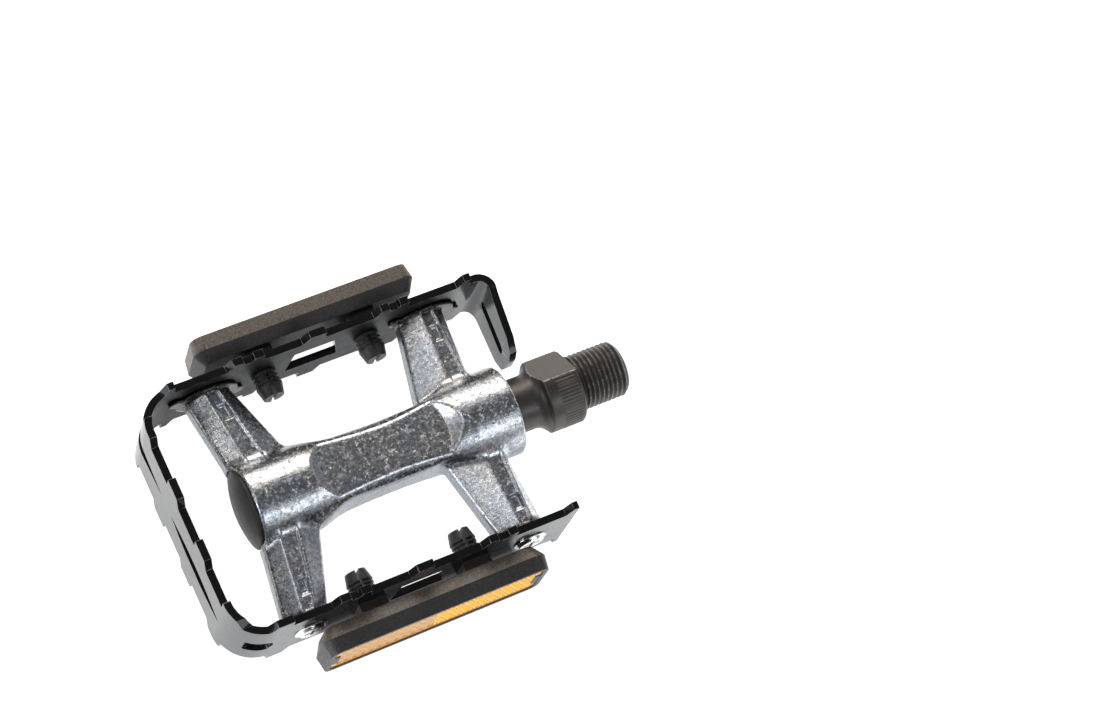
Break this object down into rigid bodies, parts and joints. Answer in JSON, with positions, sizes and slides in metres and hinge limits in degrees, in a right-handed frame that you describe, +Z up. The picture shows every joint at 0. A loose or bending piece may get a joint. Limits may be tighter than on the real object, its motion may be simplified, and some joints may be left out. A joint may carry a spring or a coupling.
{
  "type": "flat pedal",
  "caption": "Flat bicycle pedal: cast aluminium body and toothed black steel cage with amber reflectors, turning on a threaded spindle with ball bearings.",
  "frame": {"origin": "centre of the spindle's crank shoulder, the flat annular face that seats against the crank arm", "axes": "+X along the spindle towards the crank arm, +Z up out of the upper tread, -Y towards the cage plate whose inner end is free"},
  "size_m": [0.1184, 0.0842, 0.0266],
  "materials": {
    "cast_aluminium": "satin",
    "black_steel": "gloss",
    "zinc_screw": "satin",
    "housing_plastic": "matte",
    "amber_lens": "gloss",
    "oxide_steel": "satin",
    "cap_plastic": "matte",
    "seal_rubber": "matte",
    "bearing_steel": "gloss"
  },
  "bodies": {
    "spindle_group": {"spindle": "oxide_steel", "adjusting_cone": "bearing_steel", "keyed_washer": "bearing_steel", "locknut": "bearing_steel"},
    "pedal_body": {"body": "cast_aluminium", "cage": "black_steel", "dust_cap": "cap_plastic", "front_cage_screws": "zinc_screw", "rear_cage_screws": "zinc_screw", "front_reflector_housing": "housing_plastic", "front_reflector_lens": "amber_lens", "rear_reflector_housing": "housing_plastic", "rear_reflector_lens": "amber_lens", "inner_bearing_cup": "bearing_steel", "outer_bearing_cup": "bearing_steel", "spindle_seal": "seal_rubber"},
    "inner_ball_set": {"inner_balls": "bearing_steel"},
    "outer_ball_set": {"outer_balls": "bearing_steel"}
  },
  "joints": [
    {"name": "pedal_spin", "type": "hinge", "parent": "spindle_group", "child": "pedal_body", "pos_m": [0, 0, 0], "axis": [1, 0, 0], "continuous": true},
    {"name": "inner_ball_orbit", "type": "hinge", "parent": "spindle_group", "child": "inner_ball_set", "pos_m": [-0.024, 0, 0], "axis": [1, 0, 0], "continuous": true},
    {"name": "outer_ball_orbit", "type": "hinge", "parent": "spindle_group", "child": "outer_ball_set", "pos_m": [-0.0765, 0, 0], "axis": [1, 0, 0], "continuous": true}
  ],
  "couplings": [
    {"joint": "inner_ball_orbit", "follows": "pedal_spin", "ratio": 0.588},
    {"joint": "outer_ball_orbit", "follows": "pedal_spin", "ratio": 0.588}
  ]
}
